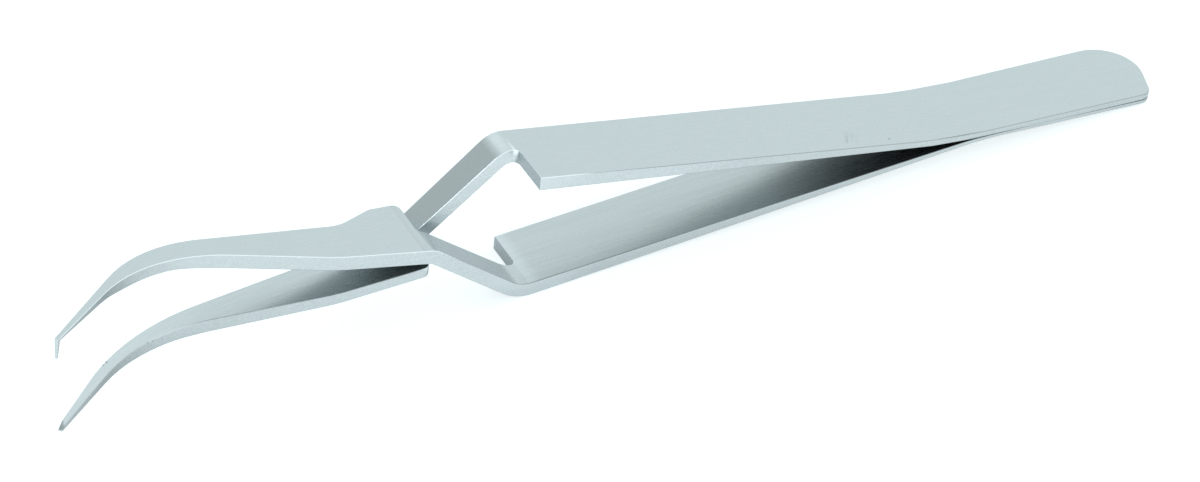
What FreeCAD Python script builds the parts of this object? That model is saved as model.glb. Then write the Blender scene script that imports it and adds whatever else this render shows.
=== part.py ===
import FreeCAD, Part
import math
import os
import Sketcher

# SMD tweezers with crossed arms: two stamped and bent steel blades, spot-welded at the tail.
# A blade is drawn along its own length. Reach is measured from the tail towards the tips, which
# point to -X. Rise is measured from the weld plane and is positive on the blade's grip side.
# The jaws curve towards the front, -Y. At the end both blades are turned together about Y, so
# that the tail and the knee of the lower blade lie on the table.

SIZES = [
    ("tail_width", "8.6"),
    ("tail_slant", "2.6"),
    ("tail_back_radius", "4.2"),
    ("tail_front_radius", "1.3"),
    ("arm_front_reach", "15"),
    ("upper_arm_front", "4.12"),
    ("lower_arm_front", "3.9"),
    ("lower_middle_back", "3.98"),
    ("knee_front", "3.9"),
    ("upper_knee_back", "3.9"),
    ("lower_knee_back", "3.68"),
    ("upper_tail_thickness", "0.65"),
    ("lower_tail_thickness", "0.45"),
    ("upper_middle_thickness", "1.15"),
    ("lower_middle_thickness", "0.95"),
    ("strip_thickness", "1.45"),
    ("root_bend_radius", "75"),
    ("arm_crown_radius", "600"),
    ("upper_knee_inner_radius", "1.4"),
    ("lower_knee_inner_radius", "3.15"),
    ("bend_inner_radius", "0.8"),
    ("middle_reach", "50"),
    ("knee_reach", "69.55"),
    ("lower_knee_step", "0.15"),
    ("upper_root_reach", "23.4"),
    ("upper_root_angle", "7.94"),
    ("upper_arm_angle", "7.88"),
    ("upper_neck_angle", "39.88"),
    ("upper_bend_drop", "0.45"),
    ("upper_jaw_angle", "7.2"),
    ("upper_jaw_thickness", "1.0"),
    ("lower_root_reach", "20.1"),
    ("lower_root_angle", "4.45"),
    ("lower_arm_angle", "6.89"),
    ("lower_neck_angle", "36.08"),
    ("lower_bend_drop", "2.03"),
    ("lower_jaw_angle", "7.2"),
    ("lower_jaw_thickness", "1.52"),
    ("notch_step", "0.85"),
    ("notch_radius", "0.6"),
    ("neck_clearance", "1.55"),
    ("shoulder_step", "0.5"),
    ("shoulder_back", "3.7"),
    ("upper_shoulder_front", "3.97"),
    ("lower_shoulder_front", "3.8"),
    ("shoulder_radius", "0.7"),
    ("sweep_length", "3.1"),
    ("sweep_back", "3.45"),
    ("sweep_radius", "1.5"),
    ("waist_back_length", "6.9"),
    ("upper_waist_back", "1.96"),
    ("lower_waist_back", "1.68"),
    ("waist_back_radius", "4"),
    ("waist_front_length", "9.1"),
    ("upper_waist_front", "3.34"),
    ("lower_waist_front", "3.05"),
    ("waist_front_radius", "28"),
    ("upper_curve_back_length", "9.7"),
    ("upper_curve_back", "1.26"),
    ("upper_curve_back_radius", "19.6"),
    ("upper_curve_front_length", "11.1"),
    ("upper_curve_front", "0.3"),
    ("upper_curve_front_radius", "14"),
    ("lower_curve_back_length", "12.45"),
    ("lower_curve_back", "2.49"),
    ("lower_curve_back_radius", "14.5"),
    ("lower_curve_front_length", "12.85"),
    ("lower_curve_front", "1.28"),
    ("lower_curve_front_radius", "15.4"),
    ("upper_belly_length", "16.0"),
    ("upper_belly_thickness", "1.38"),
    ("upper_taper_length", "10.5"),
    ("upper_taper_thickness", "1.16"),
    ("chisel_length", "0.55"),
    ("chisel_angle", "38"),
    ("lower_relief_length", "18.75"),
    ("lower_throat_length", "14.75"),
    ("lower_throat_thickness", "1.17"),
    ("lower_belly_length", "9.25"),
    ("lower_belly_thickness", "1.24"),
    ("lower_taper_length", "6.25"),
    ("lower_taper_thickness", "0.72"),
    ("grind_radius", "12"),
    ("tip_turn", "41"),
    ("upper_jaw_length", "37.9"),
    ("upper_tip_offset", "7.66"),
    ("upper_tip_width", "0.47"),
    ("upper_end_thickness", "0.35"),
    ("lower_jaw_length", "39.15"),
    ("lower_tip_offset", "9.1"),
    ("lower_tip_width", "0.42"),
    ("lower_end_thickness", "0.15"),
    ("claw_drop", "2.2"),
    ("claw_thickness", "0.34"),
    ("claw_width", "0.4"),
    ("claw_point_width", "0.22"),
    ("claw_point_thickness", "0.14"),
    ("stamping_margin", "1.0"),
]


def add_sheet(doc, name, rows):
    sheet = doc.addObject("Spreadsheet::Sheet", name)
    for row, (alias, text) in enumerate(rows, start=1):
        sheet.set(f"A{row}", alias)
        sheet.set(f"B{row}", text)
        sheet.setAlias(f"B{row}", alias)
    doc.recompute()
    return sheet


def blade_places(blade):
    """Formulas for the corners of one blade's side profile, bend by bend from the tail."""
    rows = [
        ("middle_rise", "(Sizes.middle_reach - Sizes.@_root_reach) * tan(Sizes.@_root_angle)"),
        ("middle_top", "@_middle_rise + Sizes.@_middle_thickness / cos(Sizes.@_arm_angle)"),
        ("knee_rise", "@_middle_rise + (@_knee_reach - Sizes.middle_reach)"
         " * tan(Sizes.@_arm_angle)"),
        ("arm_top", "@_knee_rise + Sizes.strip_thickness / cos(Sizes.@_arm_angle)"),
        ("arm_slope", "(@_arm_top - @_middle_top) / (@_knee_reach - Sizes.middle_reach)"),
        ("knee_step", "Sizes.strip_thickness * (1 / cos(Sizes.@_neck_angle)"
         " - 1 / cos(Sizes.@_arm_angle)) / (@_arm_slope + tan(Sizes.@_neck_angle))"),
        ("knee_top_reach", "@_knee_reach + @_knee_step"),
        ("knee_top", "@_arm_top + @_arm_slope * @_knee_step"),
        ("bend_reach", "@_knee_reach + (@_knee_rise + Sizes.@_bend_drop)"
         " / tan(Sizes.@_neck_angle)"),
        ("jaw_height", "Sizes.@_jaw_thickness / cos(Sizes.@_jaw_angle)"),
        ("bend_step", "(Sizes.strip_thickness / cos(Sizes.@_neck_angle) - @_jaw_height)"
         " / (tan(Sizes.@_neck_angle) - tan(Sizes.@_jaw_angle))"),
        ("bend_top_reach", "@_bend_reach + @_bend_step"),
        ("bend_top", "@_jaw_height - Sizes.@_bend_drop"
         " - @_bend_step * tan(Sizes.@_jaw_angle)"),
        ("knee_outer_radius", "Sizes.@_knee_inner_radius + Sizes.strip_thickness"),
    ]
    return [(f"{blade}_{name}", "=" + text.replace("@", blade)) for name, text in rows]


def knee_places():
    return [
        ("upper_knee_reach", "=Sizes.knee_reach"),
        ("lower_knee_reach", "=Sizes.knee_reach - Sizes.lower_knee_step"),
        ("notch_reach", "=lower_knee_reach - Sizes.notch_step"),
    ]


def jaw_places():
    return [
        ("shoulder_reach", "=lower_bend_reach + Sizes.shoulder_step"),
        ("upper_tip_reach", "=shoulder_reach + Sizes.upper_jaw_length"),
        ("lower_tip_reach", "=shoulder_reach + Sizes.lower_jaw_length"),
        ("strip_end", "=max(upper_tip_reach; lower_tip_reach) + Sizes.stamping_margin"),
        ("half_blank", "=max(Sizes.upper_tip_offset; Sizes.lower_tip_offset)"
         " + Sizes.stamping_margin"),
        ("bend_outer_radius", "=Sizes.bend_inner_radius + Sizes.strip_thickness"),
        ("upper_tip_half_x", "=Sizes.upper_tip_width / 2 * sin(Sizes.tip_turn)"),
        ("upper_tip_half_y", "=Sizes.upper_tip_width / 2 * cos(Sizes.tip_turn)"),
        ("lower_tip_half_x", "=Sizes.lower_tip_width / 2 * sin(Sizes.tip_turn)"),
        ("lower_tip_half_y", "=Sizes.lower_tip_width / 2 * cos(Sizes.tip_turn)"),
        ("claw_top", "=(lower_tip_reach - lower_bend_reach)"
         " * tan(Sizes.lower_jaw_angle) + Sizes.lower_bend_drop"),
    ]


def origin_plane(body, role):
    for feature in body.Origin.OriginFeatures:
        if feature.Role == role:
            return feature
    raise RuntimeError(f"no {role} in {body.Name}")


def add_sketch(body, name, role):
    sketch = body.newObject("Sketcher::SketchObject", name)
    sketch.AttachmentSupport = [(origin_plane(body, role), "")]
    sketch.MapMode = "FlatFace"
    return sketch


def pin(sketch, geometry, position, across, along):
    """Ties a point to the sketch's origin by two formulas."""
    place = sketch.getPoint(geometry, position)
    for kind, text, value in (("DistanceX", across, place.x), ("DistanceY", along, place.y)):
        index = sketch.addConstraint(Sketcher.Constraint(kind, -1, 1, geometry, position, value))
        sketch.setExpression(f"Constraints[{index}]", text)


def draw_outline(sketch, corners):
    """A closed outline of straight edges. A corner with a radius is rounded by a tangent arc."""
    points = [FreeCAD.Vector(float(sketch.evalExpression(x)), float(sketch.evalExpression(y)), 0)
              for x, y, radius in corners]
    count = len(corners)
    starts, ends, arcs = list(points), list(points), {}
    for i, (x, y, radius) in enumerate(corners):
        if radius is None:
            continue
        size = float(sketch.evalExpression(radius))
        before = (points[i - 1] - points[i]).normalize()
        after = (points[(i + 1) % count] - points[i]).normalize()
        half = before.getAngle(after) / 2
        ends[i] = points[i] + before * (size / math.tan(half))
        starts[i] = points[i] + after * (size / math.tan(half))
        centre = points[i] + (before + after).normalize() * (size / math.sin(half))
        middle = centre + (points[i] - centre).normalize() * size
        arcs[i] = Part.Arc(ends[i], middle, starts[i])
    lines = [sketch.addGeometry(Part.LineSegment(starts[i], ends[(i + 1) % count]))
             for i in range(count)]
    for i, (x, y, radius) in enumerate(corners):
        line_in, line_out = lines[i - 1], lines[i]
        if radius is None:
            sketch.addConstraint(Sketcher.Constraint("Coincident", line_in, 2, line_out, 1))
            pin(sketch, line_out, 1, x, y)
            continue
        arc = sketch.addGeometry(arcs[i])
        first, last = (1, 2) if sketch.getPoint(arc, 1).distanceToPoint(ends[i]) < \
            sketch.getPoint(arc, 2).distanceToPoint(ends[i]) else (2, 1)
        sketch.addConstraint(Sketcher.Constraint("Tangent", line_in, 2, arc, first))
        sketch.addConstraint(Sketcher.Constraint("Tangent", arc, last, line_out, 1))
        index = sketch.addConstraint(
            Sketcher.Constraint("Radius", arc, float(sketch.evalExpression(radius))))
        sketch.setExpression(f"Constraints[{index}]", radius)
        corner = sketch.addGeometry(Part.Point(points[i]), True)
        sketch.addConstraint(Sketcher.Constraint("PointOnObject", corner, 1, line_in))
        sketch.addConstraint(Sketcher.Constraint("PointOnObject", corner, 1, line_out))
        pin(sketch, corner, 1, x, y)


def draw_rectangle(sketch, left, right, low, high):
    """A rectangle around the stamping, whose four places are formulas."""
    draw_outline(sketch, [(left, low, None), (right, low, None),
                          (right, high, None), (left, high, None)])


def jaw_back(blade, reach):
    """The rise of the jaw's straight back, the face that is turned away from the other jaw."""
    if blade == "upper":
        corner, along = "Places.upper_bend_top", "Places.upper_bend_top_reach"
    else:
        corner, along = "-Sizes.lower_bend_drop", "Places.lower_bend_reach"
    return f"{corner} - ({reach} - {along}) * tan(Sizes.{blade}_jaw_angle)"


def ground_corner(blade, reach, thickness, radius):
    """A corner of the jaw's other face, which is ground to the thickness given there."""
    side = "-" if blade == "upper" else "+"
    rise = f"{jaw_back(blade, reach)} {side} Sizes.{thickness} / cos(Sizes.{blade}_jaw_angle)"
    return (reach, rise, radius)


def jaw_profile(blade):
    """The jaw seen from the side, from the bend's inside to its outside."""
    tip = f"Places.{blade}_tip_reach"
    end = "Places.strip_end"
    point = [(end, jaw_back(blade, end), None),
             ground_corner(blade, end, f"{blade}_end_thickness", None)]
    stages = ("belly", "taper") if blade == "upper" else ("taper", "belly", "throat")
    ground = [ground_corner(blade, f"({tip} - Sizes.{blade}_{stage}_length)",
                            f"{blade}_{stage}_thickness", "Sizes.grind_radius")
              for stage in stages]
    if blade == "upper":
        return ground + point[::-1]
    relief = ground_corner(blade, f"({tip} - Sizes.lower_relief_length)",
                           "lower_jaw_thickness", "Sizes.grind_radius")
    return point + ground + [relief]


def side_profile(blade, sign):
    """The strip seen from the side, from the tail out along its inside and back on its grip side.

    Each corner gives its reach, its rise and the radius that it is bent to.
    """
    p = f"Places.{blade}"
    z = f"Sizes.{blade}"
    inside = [
        ("-Sizes.stamping_margin", "0", None),
        (f"{z}_root_reach", "0", "Sizes.root_bend_radius"),
        ("Sizes.middle_reach", f"{p}_middle_rise", "Sizes.arm_crown_radius"),
        (f"{p}_knee_reach", f"{p}_knee_rise", f"{z}_knee_inner_radius"),
        (f"{p}_bend_reach", f"-{z}_bend_drop", "Places.bend_outer_radius"),
    ]
    grip_side = [
        (f"{p}_bend_top_reach", f"{p}_bend_top", "Sizes.bend_inner_radius"),
        (f"{p}_knee_top_reach", f"{p}_knee_top", f"{p}_knee_outer_radius"),
        ("Sizes.middle_reach", f"{p}_middle_top", "Sizes.arm_crown_radius"),
        (f"{z}_root_reach", f"{z}_tail_thickness", "Sizes.root_bend_radius"),
        ("-Sizes.stamping_margin", f"{z}_tail_thickness", None),
    ]
    corners = inside + jaw_profile(blade) + grip_side
    return [(f"-({reach})", f"{sign} * ({rise})", radius) for reach, rise, radius in corners]


def tail_and_back(blade):
    tail = ("-Sizes.tail_slant / 2", "Sizes.tail_width / 2", "Sizes.tail_back_radius")
    if blade == "upper":
        return [tail, ("Places.upper_knee_reach", "Sizes.upper_knee_back", None)]
    return [
        tail,
        ("Sizes.middle_reach", "Sizes.lower_middle_back", None),
        ("Places.notch_reach", "Sizes.lower_knee_back", None),
        ("Places.notch_reach", "-Sizes.neck_clearance / 2", "Sizes.notch_radius"),
        ("Places.shoulder_reach", "-Sizes.neck_clearance / 2", "Sizes.notch_radius"),
        ("Places.shoulder_reach", "Sizes.shoulder_back", "Sizes.shoulder_radius"),
    ]


def front_and_tail(blade):
    arm = ("Sizes.arm_front_reach", f"-Sizes.{blade}_arm_front", None)
    tail = ("Sizes.tail_slant / 2", "-Sizes.tail_width / 2", "Sizes.tail_front_radius")
    if blade == "lower":
        return [
            ("Places.shoulder_reach", "-Sizes.lower_shoulder_front", None),
            ("Places.lower_knee_reach", "-Sizes.knee_front", None),
            arm,
            tail,
        ]
    return [
        ("Places.shoulder_reach", "-Sizes.upper_shoulder_front", "Sizes.shoulder_radius"),
        ("Places.shoulder_reach", "Sizes.neck_clearance / 2", "Sizes.notch_radius"),
        ("Places.notch_reach", "Sizes.neck_clearance / 2", "Sizes.notch_radius"),
        ("Places.notch_reach", "-Sizes.knee_front", None),
        arm,
        tail,
    ]


def plan_outline(blade):
    """The stamping seen from above, clockwise from the tail's back corner."""
    curve = f"Sizes.{blade}_curve"
    tip = f"Places.{blade}_tip_reach"
    offset = f"Sizes.{blade}_tip_offset"
    half = f"Places.{blade}_tip_half"
    jaw = [
        ("Places.shoulder_reach + Sizes.sweep_length", "Sizes.sweep_back", "Sizes.sweep_radius"),
        ("Places.shoulder_reach + Sizes.waist_back_length", f"Sizes.{blade}_waist_back",
         "Sizes.waist_back_radius"),
        (f"{tip} - {curve}_back_length", f"{curve}_back", f"{curve}_back_radius"),
        (f"{tip} + {half}_x", f"-{offset} + {half}_y", None),
        (f"{tip} - {half}_x", f"-{offset} - {half}_y", None),
        (f"{tip} - {curve}_front_length", f"{curve}_front", f"{curve}_front_radius"),
        ("Places.shoulder_reach + Sizes.waist_front_length", f"-Sizes.{blade}_waist_front",
         "Sizes.waist_front_radius"),
    ]
    corners = tail_and_back(blade) + jaw + front_and_tail(blade)
    return [(f"-({reach})", side, radius) for reach, side, radius in corners]


def add_blade(doc, blade, sign):
    body = doc.addObject("PartDesign::Body", f"{blade}_blade")
    body.Label = f"{blade}_blade"
    profile = add_sketch(body, f"{blade}_profile", "XZ_Plane")
    draw_outline(profile, side_profile(blade, sign))
    doc.recompute()
    strip = body.newObject("PartDesign::Pad", f"{blade}_strip")
    strip.Profile = profile
    strip.SideType = "Symmetric"
    strip.setExpression("Length", "2 * Places.half_blank")
    doc.recompute()
    plan = add_sketch(body, f"{blade}_plan", "XY_Plane")
    reach = "Places.strip_end + Sizes.stamping_margin"
    wide = "Places.half_blank + Sizes.stamping_margin"
    draw_rectangle(plan, f"-({reach})", "2 * Sizes.stamping_margin", f"-({wide})", wide)
    draw_outline(plan, plan_outline(blade))
    doc.recompute()
    trim = body.newObject("PartDesign::Pocket", f"{blade}_trim")
    trim.Profile = plan
    trim.SideType = "Symmetric"
    trim.Type = "ThroughAll"
    doc.recompute()
    return body


def claw_section(body, name, width, thickness, drop):
    """A level rectangle flush with the end of the lower blade's jaw, drop below its upper face."""
    sketch = add_sketch(body, name, "XY_Plane")
    sketch.setExpression("AttachmentOffset.Base.z", f"Places.claw_top - {drop}")
    ends = [("0", f"{width} / 2"), ("0", f"-{width} / 2"),
            (f"-{thickness}", f"-{width} / 2"), (f"-{thickness}", f"{width} / 2")]
    draw_outline(sketch, [
        (f"-(Places.lower_tip_reach + ({along}) * cos(Sizes.tip_turn)"
         f" + ({across}) * sin(Sizes.tip_turn))",
         f"-Sizes.lower_tip_offset - ({along}) * sin(Sizes.tip_turn)"
         f" + ({across}) * cos(Sizes.tip_turn)",
         None) for along, across in ends])
    return sketch


def add_claw(doc, body):
    """The very end of the upper tip is bent inward to a tapered point."""
    root = claw_section(body, "claw_root", "Sizes.claw_width", "Sizes.claw_thickness",
                        "Sizes.lower_end_thickness / 2")
    point = claw_section(body, "claw_point", "Sizes.claw_point_width",
                         "Sizes.claw_point_thickness", "Sizes.claw_drop")
    doc.recompute()
    claw = body.newObject("PartDesign::AdditiveLoft", "claw")
    claw.Profile = root
    claw.Sections = [point]
    claw.Ruled = True
    doc.recompute()


def add_chisel(doc, body):
    """The end of the lower tip is ground down to a chisel edge."""
    sketch = add_sketch(body, "chisel_face", "XZ_Plane")
    start = "(Places.upper_tip_reach - Sizes.chisel_length)"
    end = "(Places.upper_tip_reach + Sizes.stamping_margin)"
    drop = "(Sizes.chisel_length + Sizes.stamping_margin) * tan(Sizes.chisel_angle)"
    draw_outline(sketch, [
        (f"-{start}", jaw_back("upper", start), None),
        (f"-{start}", f"{jaw_back('upper', start)} + Sizes.stamping_margin", None),
        (f"-{end}", f"{jaw_back('upper', start)} + Sizes.stamping_margin", None),
        (f"-{end}", f"{jaw_back('upper', start)} - {drop}", None),
    ])
    doc.recompute()
    chisel = body.newObject("PartDesign::Pocket", "chisel")
    chisel.Profile = sketch
    chisel.SideType = "Symmetric"
    chisel.Type = "ThroughAll"
    doc.recompute()


def rest_tilt(places, sizes, lower):
    """The turn that lays the lower blade's tail and knee on the table."""
    radius = places.lower_knee_outer_radius
    tail = FreeCAD.Vector(-lower.Shape.optimalBoundingBox(False).XMax,
                          sizes.lower_tail_thickness, 0)
    arm = math.atan(places.lower_arm_slope)
    neck = math.radians(sizes.lower_neck_angle)
    inward = FreeCAD.Vector(math.sin(arm) - math.sin(neck), -math.cos(arm) - math.cos(neck), 0)
    inward *= radius / (1 + math.cos(arm + neck))
    knee = FreeCAD.Vector(places.lower_knee_top_reach, places.lower_knee_top, 0) + inward - tail
    return math.degrees(math.atan2(knee.y, knee.x) + math.asin(radius / knee.Length))


def lay_down(blades, tilt):
    """Turns the blades about Y and puts the origin under the middle of their box."""
    turned = FreeCAD.Placement(FreeCAD.Vector(), FreeCAD.Rotation(FreeCAD.Vector(0, 1, 0), tilt))
    for body in blades:
        body.Placement = turned
    box = blades[0].Shape.optimalBoundingBox(False)
    box.add(blades[1].Shape.optimalBoundingBox(False))
    shift = FreeCAD.Vector(-box.Center.x, -box.Center.y, -box.ZMin)
    for body in blades:
        body.Placement = FreeCAD.Placement(shift, turned.Rotation)


def check(doc):
    for item in doc.Objects:
        if "Invalid" in item.State or "Error" in item.State:
            raise RuntimeError(f"{item.Name} failed: {item.State}")
    for body in doc.findObjects("PartDesign::Body"):
        if body.Shape.isNull() or not body.Shape.isValid() or len(body.Shape.Solids) != 1:
            raise RuntimeError(f"{body.Name} is not one valid solid")


def main():
    doc = FreeCAD.newDocument("tweezers")
    sizes = add_sheet(doc, "Sizes", SIZES)
    places = add_sheet(doc, "Places",
                       knee_places() + blade_places("upper") + blade_places("lower")
                       + jaw_places())
    upper = add_blade(doc, "upper", 1)
    lower = add_blade(doc, "lower", -1)
    add_chisel(doc, upper)
    add_claw(doc, lower)
    check(doc)
    blades = [upper, lower]
    lay_down(blades, rest_tilt(places, sizes, lower))
    doc.recompute()
    check(doc)
    os.makedirs("parts", exist_ok=True)
    for body in blades:
        body.Shape.exportStep(f"parts/{body.Label}.step")


main()
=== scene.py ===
import math

import bpy
from mathutils import Matrix, Vector

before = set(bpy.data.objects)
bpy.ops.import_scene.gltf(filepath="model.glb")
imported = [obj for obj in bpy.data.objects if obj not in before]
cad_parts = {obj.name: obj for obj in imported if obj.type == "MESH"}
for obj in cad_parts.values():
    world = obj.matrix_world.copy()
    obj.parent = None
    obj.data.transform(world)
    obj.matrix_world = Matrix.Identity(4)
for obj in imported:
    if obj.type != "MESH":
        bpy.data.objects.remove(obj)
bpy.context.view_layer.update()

MM = 0.001

# The picture's frame and the camera that was fitted to the outlines of the tweezers in it.
# The camera is given in the plane of the weld, with the tips towards -X, and is then turned
# with the tweezers as they lie on the table.
PHOTO_WIDTH = 1200
SENSOR_MM = 36.0
FOCAL_PX = 5104.8
TURN_DEG = 31.051
DIP_DEG = 37.457
ROLL_DEG = 6.431
DISTANCE_MM = 449.29
ACROSS_MM = -1.251
UPWARDS_MM = 3.448
AIM_MM = Vector((-58.0, 0.0, 0.0))
FIT_SCALE = 70 / 66
FIT_SHIFT_MM = Vector((0.3, 0.0, 0.22))
REST_TILT_DEG = 4.6195
REST_SHIFT_MM = Vector((58.8294, 2.4953, 0.4350))
NEAREST, FARTHEST = 0.01, 10

# Stainless steel, ground along the strip. The grinding lines follow the tips, which curve away
# from the strip's line by CURVE_RATE times the square of the distance past CURVE_START.
STEEL_DARK = (0.58, 0.625, 0.635, 1)
STEEL_PALE = (0.625, 0.67, 0.68, 1)
CURVE_START = -36 * MM
CURVE_RATE = 14.0
# How finely the patterns repeat along the strip and across it, in cycles a metre.
FINE_LINES = (150, 12000, 12000)
WIDE_LINES = (60, 3500, 3500)
CLOUDS = 90.0
CUT_GRAIN = 6500.0
CLOUD_PART = 0.2
CUT_DEPTH = 0.07
ROUGH, SMOOTH = 0.32, 0.25
ANISOTROPY = 0.5
BUMP_STRENGTH = 0.06
BUMP_DEPTH = 0.02 * MM

# Where a mask starts and where it is full. The first two work on noise, the third on the sum of
# the grain and the clouds, the fourth on the distance from the seam as a part of its half width,
# and the others on the parts of a face's direction.
GRAIN_MASK = (0.3, 0.7)
SCRATCH_MASK = (0.48, 0.62)
TONE_MASK = (0.3, 0.95)
SEAM_MASK = (0.6, 1.3)
EDGE_MASK = (0.1, 0.5)
INNER_MASK = (-0.2, -0.6)
BAND_MASK = (0.5, 0.2)
TIP_MASK = (0.15, 0.6)
TOP_MASK = (0.5, 0.8)

# Painted light and shade along the tweezers, as pairs of a place in mm, from the tips to the tail,
# and a factor on the steel's colour. No factor is above TONE_SCALE and no place is past STRIP_HALF.
STRIP_HALF = 60 * MM
TONE_SCALE = 2.0
# Painted light on the front edges: factors above 1 are painted highlights, below 1 a painted dark
# line.
EDGE_LIGHT_TONES = {
    "upper_blade": ((-60, 1.0), (-48, 1.0), (-46, 1.35), (-43.5, 1.3), (-41, 0.8), (-22, 0.68),
                    (-20, 1.5), (-5, 1.5), (-3, 0.85), (5, 0.66), (60, 0.68)),
    "lower_blade": ((-60, 1.5), (-19, 1.5), (-17, 0.85), (-9, 0.72), (0, 0.6), (60, 0.68)),
}
# Painted light on the stamped sides: stretches above 1 are painted highlights, as at the knees and
# necks, and those below 1 painted shade.
BAND_LIGHT_TONES = {
    "upper_blade": ((-60, 0.94), (-50, 0.94), (-42, 0.9), (-30, 0.94), (-20, 0.97), (-14, 1.06),
                    (-9, 1.1), (-3, 1.0), (4, 1.0), (13, 0.92), (60, 0.95)),
    "lower_blade": ((-60, 1.03), (-48, 1.03), (-45, 0.94), (-42, 1.0), (-15, 1.0), (-11, 1.08),
                    (-7, 1.08), (-3, 0.98), (60, 1.0)),
}
# Painted shade on the faces that look at the other blade, darkest in the narrow gap between the
# arms near the tail.
INNER_SHADE_TONES = ((-60, 0.95), (-47, 0.94), (-40, 0.87), (-21, 0.88), (-20, 1.0), (-9.5, 1.0),
               (-8.5, 0.87), (16, 0.86), (26, 0.5), (60, 0.45))

# The side of the weld that each blade's grip arm is on. Past JAW_START it has changed sides.
SIDES = {"upper_blade": 1.0, "lower_blade": -1.0}
JAW_START = -21 * MM
JAW_CHANGE = 0.5 * MM

# The stamped sides of the tips are in shade where they face the tail.
TIP_START = -40 * MM
TIP_BAND_SHADE = 0.27

# The dark line between the two blades, in the plane of the weld: where it starts and ends along
# the tail, and half its width there.
WELD_POINT = (58.83 * MM, 2.5 * MM, 0.435 * MM)
WELD_NORMAL = (0.0805, 0.0, 0.9968)
SEAM_WIDE, SEAM_NARROW = 0.2 * MM, 0.05 * MM
SEAM_START, SEAM_END = 36.5 * MM, 46 * MM
SEAM_FADE = 3 * MM
SEAM_SHADE = 0.12

# Small dark specks: place and radius in mm, and the tone at the middle.
MARKS = {
    "upper_blade": (
        ((28.63, -0.64, 4.65), 0.14, 0.5), ((-51.27, 0.79, 5.78), 0.17, 0.4),
        ((-51.66, 0.55, 5.77), 0.14, 0.5), ((-46.91, 1.43, 5.90), 0.10, 0.5),
        ((-46.37, 1.55, 5.84), 0.10, 0.6), ((-45.40, 1.70, 5.60), 0.08, 0.6)),
    "lower_blade": (),
}

# A patch of faint scratches on the upper arm, in axes turned with them: the cosine and sine of
# the turn, the patch's limits across and along the scratches, and how far its borders fade.
SCRATCH_TURN = (0.89, -0.456)
SCRATCH_ACROSS = (21.1 * MM, 22.9 * MM)
SCRATCH_ALONG = (10.1 * MM, 12.6 * MM)
FADE_ACROSS, FADE_ALONG = 0.4 * MM, 0.6 * MM
SCRATCHES_ACROSS, SCRATCHES_ALONG = 5500.0, 250.0
SCRATCH_DEPTH = 0.16

# The strip's edges are broken by EDGE_WIDTH, but not at the tiny tip ends. Points closer than
# JOIN are made one first, and faces that are flat within FLAT too.
JOIN = {"upper_blade": 0.03 * MM, "lower_blade": 0.001 * MM}
EDGE_WIDTH = 0.07 * MM
EDGES_FROM = -57 * MM
FLAT = math.radians(2)
SHARP_EDGE = math.radians(28)
HARD_EDGE = math.radians(50)

# The table: its colour, the glow that makes it white for the camera, and the glow that the
# metal mirrors from the table in front of the tweezers and behind them.
TABLE_SIZE = 6.0
FLOOR_COLOUR = (0.58, 0.62, 0.64, 1)
FLOOR_GLOW = (0.97, 1, 1, 1)
FLOOR_SEEN = 0.64
FLOOR_FRONT, FLOOR_BACK = -4.5 * MM, 3 * MM
FLOOR_MIRRORED = (0.57, 0.14)

# The room: dimmer beyond the tips than beyond the tail, with a soft box up behind.
ROOM_DIM = (0.52, 0.57, 0.58, 1)
ROOM_PALE = (0.91, 1.0, 1.01, 1)
ROOM_CHANGE = (-0.55, -0.05)
SOFT_BOX_SIDE = (0.15, 0.66, 0.735)
SOFT_BOX_RIM, SOFT_BOX_MIDDLE = 0.945, 0.985
SOFT_BOX_LEVEL = 1.22

KEY_PLACE = (-0.42, -0.62, 0.42)
KEY_SIZE = (0.3, 0.3)
KEY_POWER = 0.9
LOOK_AT = Vector((0.0, 0.0, 0.006))


class Nodes:
    """Short calls for building a node tree."""

    def __init__(self, tree):
        self.tree = tree
        tree.nodes.clear()

    def add(self, kind, inputs=(), **settings):
        node = self.tree.nodes.new(kind)
        for name, value in settings.items():
            setattr(node, name, value)
        for name, value in dict(inputs).items():
            self.put(node.inputs[name], value)
        return node

    def put(self, socket, value):
        if isinstance(value, bpy.types.NodeSocket):
            self.tree.links.new(value, socket)
        else:
            socket.default_value = value

    def math(self, operation, a, b=None):
        node = self.tree.nodes.new("ShaderNodeMath")
        node.operation = operation
        for socket, value in zip(node.inputs, (a, b)):
            if value is not None:
                self.put(socket, value)
        return node.outputs[0]

    def mix(self, factor, a, b):
        node = self.tree.nodes.new("ShaderNodeMix")
        node.data_type = "RGBA"
        self.put(node.inputs["Factor"], factor)
        colours = [socket for socket in node.inputs if socket.type == "RGBA"]
        for socket, value in zip(colours, (a, b)):
            self.put(socket, value)
        return next(socket for socket in node.outputs if socket.type == "RGBA")

    def ramp(self, value, low, high, start=0.0, end=1.0):
        node = self.add("ShaderNodeMapRange", {"Value": value, "From Min": low, "From Max": high,
                                               "To Min": start, "To Max": end})
        return node.outputs[0]

    def noise(self, place, scale, detail):
        node = self.add("ShaderNodeTexNoise", {"Vector": place, "Scale": scale, "Detail": detail})
        return node.outputs[0]

    def split(self, vector):
        return self.add("ShaderNodeSeparateXYZ", {"Vector": vector}).outputs

    def change(self, where, factor):
        """A tone of 1, and of the factor where the mask is 1."""
        return self.math("ADD", 1.0, self.math("MULTIPLY", where,
                                               self.math("SUBTRACT", factor, 1.0)))


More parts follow.
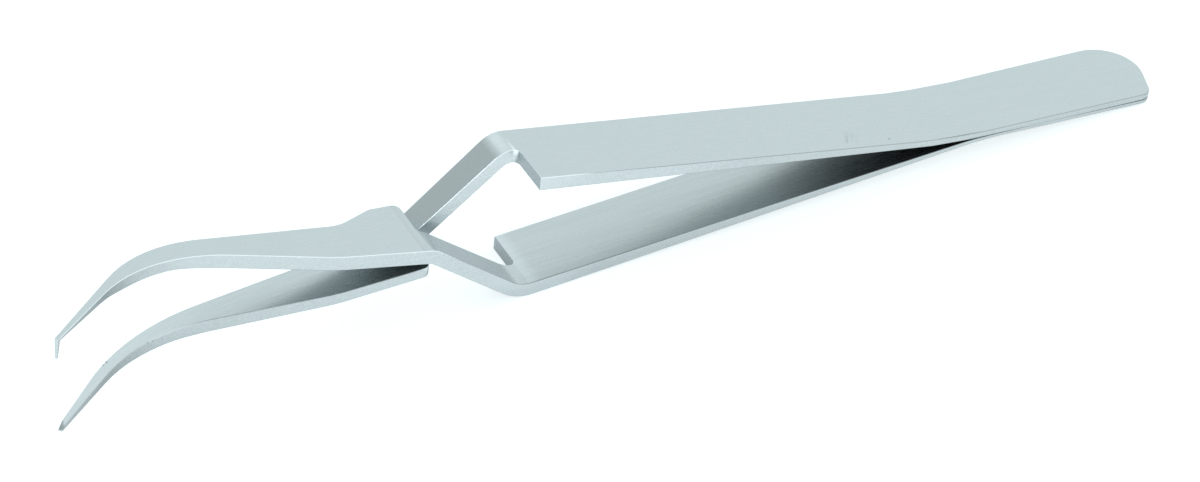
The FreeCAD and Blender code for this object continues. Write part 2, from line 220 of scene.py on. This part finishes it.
def add_camera():
    turn, dip, roll = (math.radians(v) for v in (TURN_DEG, DIP_DEG, ROLL_DEG))
    forward = Vector((math.sin(turn) * math.cos(dip), math.cos(turn) * math.cos(dip),
                      -math.sin(dip)))
    level = Vector((math.cos(turn), -math.sin(turn), 0))
    steep = level.cross(forward)
    right = math.cos(roll) * level + math.sin(roll) * steep
    up = math.cos(roll) * steep - math.sin(roll) * level
    eye = AIM_MM - (ACROSS_MM * right + UPWARDS_MM * up + DISTANCE_MM * forward)
    laid = Matrix.Rotation(math.radians(REST_TILT_DEG), 3, "Y")
    place = laid @ (eye * FIT_SCALE + FIT_SHIFT_MM) + REST_SHIFT_MM
    axes = Matrix((laid @ right, laid @ up, -(laid @ forward))).transposed()
    data = bpy.data.cameras.new("camera")
    data.sensor_fit = "HORIZONTAL"
    data.sensor_width = SENSOR_MM
    data.lens = FOCAL_PX / PHOTO_WIDTH * SENSOR_MM
    data.clip_start, data.clip_end = NEAREST, FARTHEST
    camera = bpy.data.objects.new("camera", data)
    camera.matrix_world = Matrix.Translation(place * MM) @ axes.to_4x4()
    bpy.context.scene.collection.objects.link(camera)
    bpy.context.scene.camera = camera


def along_strip(n, x, stops):
    """A tone that changes along the tweezers."""
    ramp = n.add("ShaderNodeValToRGB", {"Fac": n.ramp(x, -STRIP_HALF, STRIP_HALF)})
    points = ramp.color_ramp.elements
    while len(points) < len(stops):
        points.new(0.5)
    for point, (place, tone) in zip(points, stops):
        point.position = 0.5 + 0.5 * place * MM / STRIP_HALF
    for point, (place, tone) in zip(points, stops):
        point.color = (tone / TONE_SCALE, tone / TONE_SCALE, tone / TONE_SCALE, 1)
    return n.math("MULTIPLY", ramp.outputs[0], TONE_SCALE)


def painted_edge_light(n, x, ny, nz, stops):
    """Painted light along the broken front edges: painted highlights where the tones are above 1, a
    painted dark line where they are below.
    """
    edge = n.ramp(n.math("MULTIPLY", n.math("MULTIPLY", ny, nz), -2.0), *EDGE_MASK)
    return n.change(edge, along_strip(n, x, stops))


def painted_inner_shade(n, x, nz, side):
    """Painted shade on the faces that look at the other blade, darkest in the narrow gap between
    the arms towards the tail.
    """
    outward = n.ramp(x, JAW_START, JAW_START + JAW_CHANGE, -side, side)
    inner = n.ramp(n.math("MULTIPLY", nz, outward), *INNER_MASK)
    return n.change(inner, along_strip(n, x, INNER_SHADE_TONES))


def band_grain_and_painted_light(n, coords, x, nx, nz, stops):
    """The stamped sides: a coarse grain, painted light and shade along the strip, and painted shade
    at the tips.
    """
    band = n.ramp(n.math("ABSOLUTE", nz), *BAND_MASK)
    sheared = n.noise(coords, CUT_GRAIN, detail=2.0)
    grain = n.math("MULTIPLY", band, n.ramp(sheared, *GRAIN_MASK, -CUT_DEPTH, CUT_DEPTH))
    on_tip = n.math("MULTIPLY", n.ramp(x, TIP_START, TIP_START - MM), n.ramp(nx, *TIP_MASK))
    shade = n.math("MULTIPLY", n.math("MULTIPLY", on_tip, band), TIP_BAND_SHADE)
    return n.math("ADD", n.change(band, along_strip(n, x, stops)),
                  n.math("SUBTRACT", grain, shade))


def seam_tone(n, coords, x):
    """The dark line between the two blades, along the tail."""
    off = n.add("ShaderNodeVectorMath", {0: coords, 1: WELD_POINT}, operation="SUBTRACT").outputs[0]
    height = n.add("ShaderNodeVectorMath", {0: off, 1: WELD_NORMAL}, operation="DOT_PRODUCT")
    width = n.ramp(x, SEAM_START, SEAM_END, SEAM_WIDE, SEAM_NARROW)
    part = n.math("DIVIDE", n.math("ABSOLUTE", height.outputs["Value"]), width)
    outside = n.ramp(part, *SEAM_MASK)
    before = n.ramp(x, SEAM_START - SEAM_FADE, SEAM_START, 1.0, 0.0)
    return n.ramp(n.math("MAXIMUM", outside, before), 0.0, 1.0, SEAM_SHADE, 1.0)


def mark_tones(n, coords, marks):
    for place, radius, shade in marks:
        off = n.add("ShaderNodeVectorMath", {0: coords, 1: tuple(v * MM for v in place)},
                    operation="DISTANCE").outputs["Value"]
        yield n.ramp(off, radius * 0.5 * MM, radius * MM, shade, 1.0)


def scratch_tone(n, x, y, nz):
    """A patch of fine scratches on the upward face."""
    cosine, sine = SCRATCH_TURN
    over = n.math("ADD", n.math("MULTIPLY", x, cosine), n.math("MULTIPLY", y, sine))
    up = n.math("SUBTRACT", n.math("MULTIPLY", y, cosine), n.math("MULTIPLY", x, sine))
    place = n.add("ShaderNodeCombineXYZ", {
        "X": n.math("MULTIPLY", over, SCRATCHES_ACROSS),
        "Y": n.math("MULTIPLY", up, SCRATCHES_ALONG)}).outputs[0]
    patch = n.ramp(nz, *TOP_MASK)
    for value, (low, high), fade in ((over, SCRATCH_ACROSS, FADE_ACROSS),
                                     (up, SCRATCH_ALONG, FADE_ALONG)):
        patch = n.math("MULTIPLY", patch, n.ramp(value, low, low + fade))
        patch = n.math("MULTIPLY", patch, n.ramp(value, high, high - fade))
    lines = n.ramp(n.noise(place, 1.0, detail=1.0), *SCRATCH_MASK)
    dark = n.math("MULTIPLY", patch, lines)
    return n.math("SUBTRACT", 1.0, n.math("MULTIPLY", dark, SCRATCH_DEPTH))


def steel_material(node):
    """Stainless strip, ground lengthwise: fine lines that follow the curve of the tips."""
    material = bpy.data.materials.new("brushed_" + node)
    material.use_nodes = True
    n = Nodes(material.node_tree)
    coords = n.add("ShaderNodeTexCoord").outputs["Object"]
    x, y, z = n.split(coords)
    nx, ny, nz = n.split(n.add("ShaderNodeNewGeometry").outputs["Normal"])

    past = n.math("MAXIMUM", n.math("SUBTRACT", CURVE_START, x), 0.0)
    drop = n.math("MULTIPLY", n.math("MULTIPLY", past, past), CURVE_RATE)
    slope = n.math("MULTIPLY", past, 2 * CURVE_RATE)
    along = n.add("ShaderNodeCombineXYZ",
                  {"X": x, "Y": n.math("ADD", y, drop), "Z": z}).outputs[0]
    fine = n.add("ShaderNodeMapping", {"Vector": along, "Scale": FINE_LINES}).outputs[0]
    wide = n.add("ShaderNodeMapping", {"Vector": along, "Scale": WIDE_LINES}).outputs[0]
    grain = n.math("ADD", n.math("MULTIPLY", n.noise(fine, 1.0, detail=3.0), 0.5),
                   n.math("MULTIPLY", n.noise(wide, 1.0, detail=2.0), 0.5))
    clouds = n.math("MULTIPLY", n.noise(coords, CLOUDS, detail=2.0), CLOUD_PART)
    tone = n.ramp(n.math("ADD", grain, clouds), *TONE_MASK)

    # The colour factor holds the sides' grain, painted light and shade on the sides, edges and
    # inner faces, the dark seam line, the dark specks and, on the upper blade, the scratches.
    factor = band_grain_and_painted_light(n, coords, x, nx, nz, BAND_LIGHT_TONES[node])
    parts = [painted_inner_shade(n, x, nz, SIDES[node]), painted_edge_light(n, x, ny, nz, EDGE_LIGHT_TONES[node]),
             seam_tone(n, coords, x), *mark_tones(n, coords, MARKS[node])]
    if node == "upper_blade":
        parts.append(scratch_tone(n, x, y, nz))
    for part in parts:
        factor = n.math("MULTIPLY", factor, part)
    colour = n.add("ShaderNodeVectorMath",
                   {0: n.mix(tone, STEEL_DARK, STEEL_PALE), "Scale": factor},
                   operation="SCALE").outputs[0]

    bump = n.add("ShaderNodeBump", {"Strength": BUMP_STRENGTH, "Distance": BUMP_DEPTH,
                                    "Height": grain})
    brushed = n.add("ShaderNodeCombineXYZ", {
        "X": n.math("MULTIPLY", slope, -1.0), "Y": 1.0, "Z": 0.0}).outputs[0]
    shader = n.add("ShaderNodeBsdfPrincipled", {
        "Base Color": colour, "Metallic": 1.0, "Anisotropic": ANISOTROPY,
        "Roughness": n.ramp(grain, *GRAIN_MASK, ROUGH, SMOOTH),
        "Normal": bump.outputs[0], "Tangent": brushed})
    n.add("ShaderNodeOutputMaterial", {"Surface": shader.outputs[0]})
    return material


def geometry_nodes(piece, name, build):
    """Adds a geometry nodes modifier; build returns its result for the mesh that comes in."""
    tree = bpy.data.node_groups.new(name, "GeometryNodeTree")
    for way in ("INPUT", "OUTPUT"):
        tree.interface.new_socket("Geometry", in_out=way, socket_type="NodeSocketGeometry")
    n = Nodes(tree)
    entry = n.add("NodeGroupInput")
    angle = n.add("GeometryNodeInputMeshEdgeAngle").outputs["Unsigned Angle"]
    result = build(n, entry.outputs[0], angle)
    n.put(n.add("NodeGroupOutput").inputs[0], result)
    piece.modifiers.new(name, "NODES").node_group = tree


def choose_edges(n, mesh, angle):
    """Marks the strip's hard edges for breaking, but not those of the tiny tip ends."""
    place = n.add("GeometryNodeInputPosition").outputs[0]
    broken = n.math("MULTIPLY", n.math("GREATER_THAN", angle, SHARP_EDGE),
                    n.math("GREATER_THAN", n.split(place)[0], EDGES_FROM))
    store = n.add("GeometryNodeStoreNamedAttribute", {"Geometry": mesh},
                  data_type="FLOAT", domain="EDGE")
    n.put(store.inputs["Name"], "bevel_weight_edge")
    n.put(store.inputs["Value"], broken)
    return store.outputs[0]


def smooth_by_angle(n, mesh, angle):
    """Shades the faceted bends smooth and keeps the strip's edges sharp."""
    faces = n.add("GeometryNodeSetShadeSmooth", {"Geometry": mesh})
    edges = n.add("GeometryNodeSetShadeSmooth", {
        "Geometry": faces.outputs[0], "Shade Smooth": False,
        "Selection": n.math("GREATER_THAN", angle, HARD_EDGE)}, domain="EDGE")
    return edges.outputs[0]


def finish_blade(piece, material, join):
    joined = piece.modifiers.new("joined_faces", "WELD")
    joined.merge_threshold = join
    flat = piece.modifiers.new("flat_faces", "DECIMATE")
    flat.decimate_type = "DISSOLVE"
    flat.angle_limit = FLAT
    geometry_nodes(piece, "edges_to_break", choose_edges)
    edge = piece.modifiers.new("edge", "BEVEL")
    edge.width = EDGE_WIDTH
    edge.segments = 2
    edge.limit_method = "WEIGHT"
    edge.use_clamp_overlap = False
    edge.loop_slide = False
    geometry_nodes(piece, "smooth_bends", smooth_by_angle)
    even = piece.modifiers.new("flat_faces_stay_flat", "WEIGHTED_NORMAL")
    even.keep_sharp = True
    for slot in piece.material_slots:
        slot.material = material


def floor_material():
    """A white table that glows for the camera, with a painted glow for the metal's reflections that
    is brighter in front of the tweezers than behind; it keeps the tweezers' shadow.
    """
    material = bpy.data.materials.new("table_white")
    material.use_nodes = True
    n = Nodes(material.node_tree)
    path = n.add("ShaderNodeLightPath")
    depth = n.split(n.add("ShaderNodeNewGeometry").outputs["Position"])[1]
    mirrored = n.math("MULTIPLY", path.outputs["Is Glossy Ray"],
                      n.ramp(depth, FLOOR_FRONT, FLOOR_BACK, *FLOOR_MIRRORED))
    seen = n.math("MULTIPLY", path.outputs["Is Camera Ray"], FLOOR_SEEN)
    matt = n.add("ShaderNodeBsdfDiffuse", {"Color": FLOOR_COLOUR})
    glow = n.add("ShaderNodeEmission", {"Color": FLOOR_GLOW,
                                        "Strength": n.math("ADD", seen, mirrored)})
    both = n.add("ShaderNodeAddShader", {0: matt.outputs[0], 1: glow.outputs[0]})
    n.add("ShaderNodeOutputMaterial", {"Surface": both.outputs[0]})
    return material


def add_table():
    half = TABLE_SIZE / 2
    corners = [(-half, -half, 0), (half, -half, 0), (half, half, 0), (-half, half, 0)]
    mesh = bpy.data.meshes.new("table")
    mesh.from_pydata(corners, [], [(0, 1, 2, 3)])
    mesh.materials.append(floor_material())
    table = bpy.data.objects.new("table", mesh)
    bpy.context.scene.collection.objects.link(table)


def add_key_lamp():
    data = bpy.data.lights.new("key", "AREA")
    data.shape = "RECTANGLE"
    data.size, data.size_y = KEY_SIZE
    data.energy = KEY_POWER
    lamp = bpy.data.objects.new("key", data)
    lamp.location = KEY_PLACE
    lamp.rotation_mode = "QUATERNION"
    lamp.rotation_quaternion = (Vector(KEY_PLACE) - LOOK_AT).to_track_quat("Z", "Y")
    bpy.context.scene.collection.objects.link(lamp)


def add_world():
    world = bpy.data.worlds.new("studio")
    bpy.context.scene.world = world
    world.use_nodes = True
    n = Nodes(world.node_tree)
    coords = n.add("ShaderNodeTexCoord").outputs["Generated"]
    side = n.ramp(n.split(coords)[0], *ROOM_CHANGE)
    towards = n.add("ShaderNodeVectorMath", {0: coords, 1: SOFT_BOX_SIDE},
                    operation="DOT_PRODUCT")
    level = n.ramp(towards.outputs["Value"], SOFT_BOX_RIM, SOFT_BOX_MIDDLE, 1.0, SOFT_BOX_LEVEL)
    sky = n.add("ShaderNodeBackground", {"Color": n.mix(side, ROOM_DIM, ROOM_PALE),
                                         "Strength": level})
    n.add("ShaderNodeOutputWorld", {"Surface": sky.outputs[0]})


add_camera()
add_world()
add_table()
add_key_lamp()

for node in SIDES:
    finish_blade(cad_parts[node], steel_material(node), JOIN[node])

bpy.context.scene.view_settings.view_transform = "Standard"
